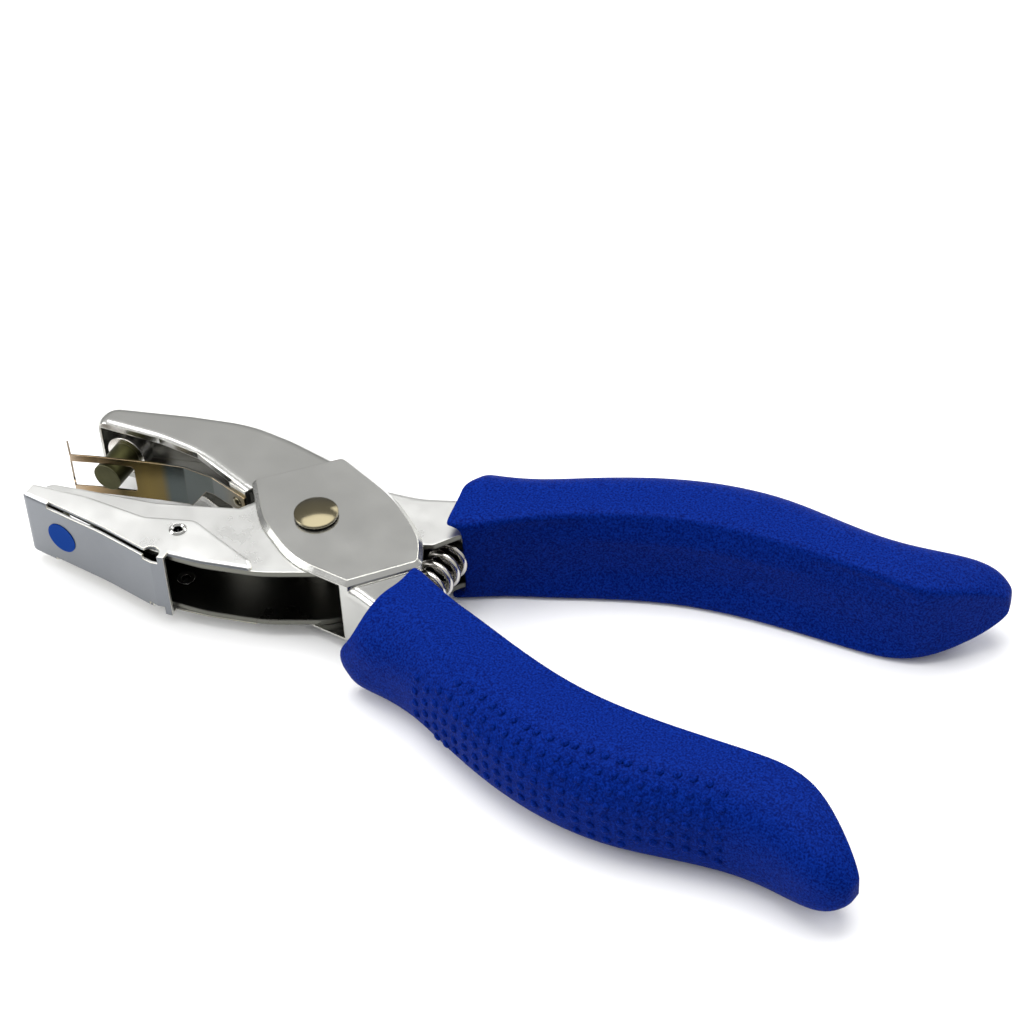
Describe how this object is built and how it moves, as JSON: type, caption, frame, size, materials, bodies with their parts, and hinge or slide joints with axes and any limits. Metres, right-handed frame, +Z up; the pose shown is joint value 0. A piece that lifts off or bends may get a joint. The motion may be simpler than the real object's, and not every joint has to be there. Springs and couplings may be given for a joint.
{
  "type": "hole punch pliers",
  "caption": "Hand-held hole punch pliers with formed steel jaws, a round punch with a spring stripper, a swinging chip tray and blue vinyl grips.",
  "frame": {"origin": "under the middle of the whole tool, on the plane that it lies on", "axes": "+X from the jaws to the handles, +Y to the upper jaw's side, +Z up, along the pivot rivet"},
  "size_m": [0.183, 0.0846, 0.02],
  "materials": {
    "bright_nickel": "bright nickel-plated formed steel, fine drawn grain",
    "tray_nickel": "bright nickel-plated thin sheet, cut edges",
    "rivet_nickel": "champagne-tinted plated rivet head, polished",
    "hardened_steel": "dark hardened tool steel, worn end face",
    "holder_steel": "bright turned steel",
    "stripper_bronze": "bronze-tinted spring strip",
    "spring_steel": "bright spring wire",
    "bush_steel": "turned steel spacer",
    "blue_vinyl": "royal blue moulded vinyl, fine matt grain",
    "blue_dot": "blue adhesive dot, satin"
  },
  "bodies": {
    "die_side": {"die_lever": "bright_nickel", "die_ring": "hardened_steel", "tray_eyelets": "rivet_nickel", "pivot_rivet": "rivet_nickel", "pivot_washers": "hardened_steel", "pivot_bush": "bush_steel", "die_lever_grip": "blue_vinyl", "return_spring": "spring_steel"},
    "punch_side": {"punch_lever": "bright_nickel", "punch_holder": "holder_steel", "punch_pin": "hardened_steel", "punch_lever_grip": "blue_vinyl"},
    "stripper": {"stripper_strip": "stripper_bronze", "stripper_rivet": "rivet_nickel"},
    "tray": {"chip_tray": "tray_nickel", "colour_dot": "blue_dot"}
  },
  "joints": [
    {"name": "main_pivot", "type": "hinge", "parent": "die_side", "child": "punch_side", "pos_m": [-0.0333, 0, 0.01], "axis": [0, 0, 1], "range_deg": [0, 13], "stiffness_Nm_per_rad": 1.2, "springref_deg": -17.19, "deforming": ["return_spring"]},
    {"name": "stripper_flex", "type": "hinge", "parent": "punch_side", "child": "stripper", "pos_m": [-0.0547, 0.0033, 0.01], "axis": [0, 0, 1], "range_deg": [-4, 0]},
    {"name": "tray_swing", "type": "hinge", "parent": "die_side", "child": "tray", "pos_m": [-0.056, -0.0133, 0.01], "axis": [0, 0, 1], "range_deg": [0, 18]}
  ],
  "couplings": [
    {"joint": "stripper_flex", "follows": "main_pivot", "ratio": -0.3}
  ]
}
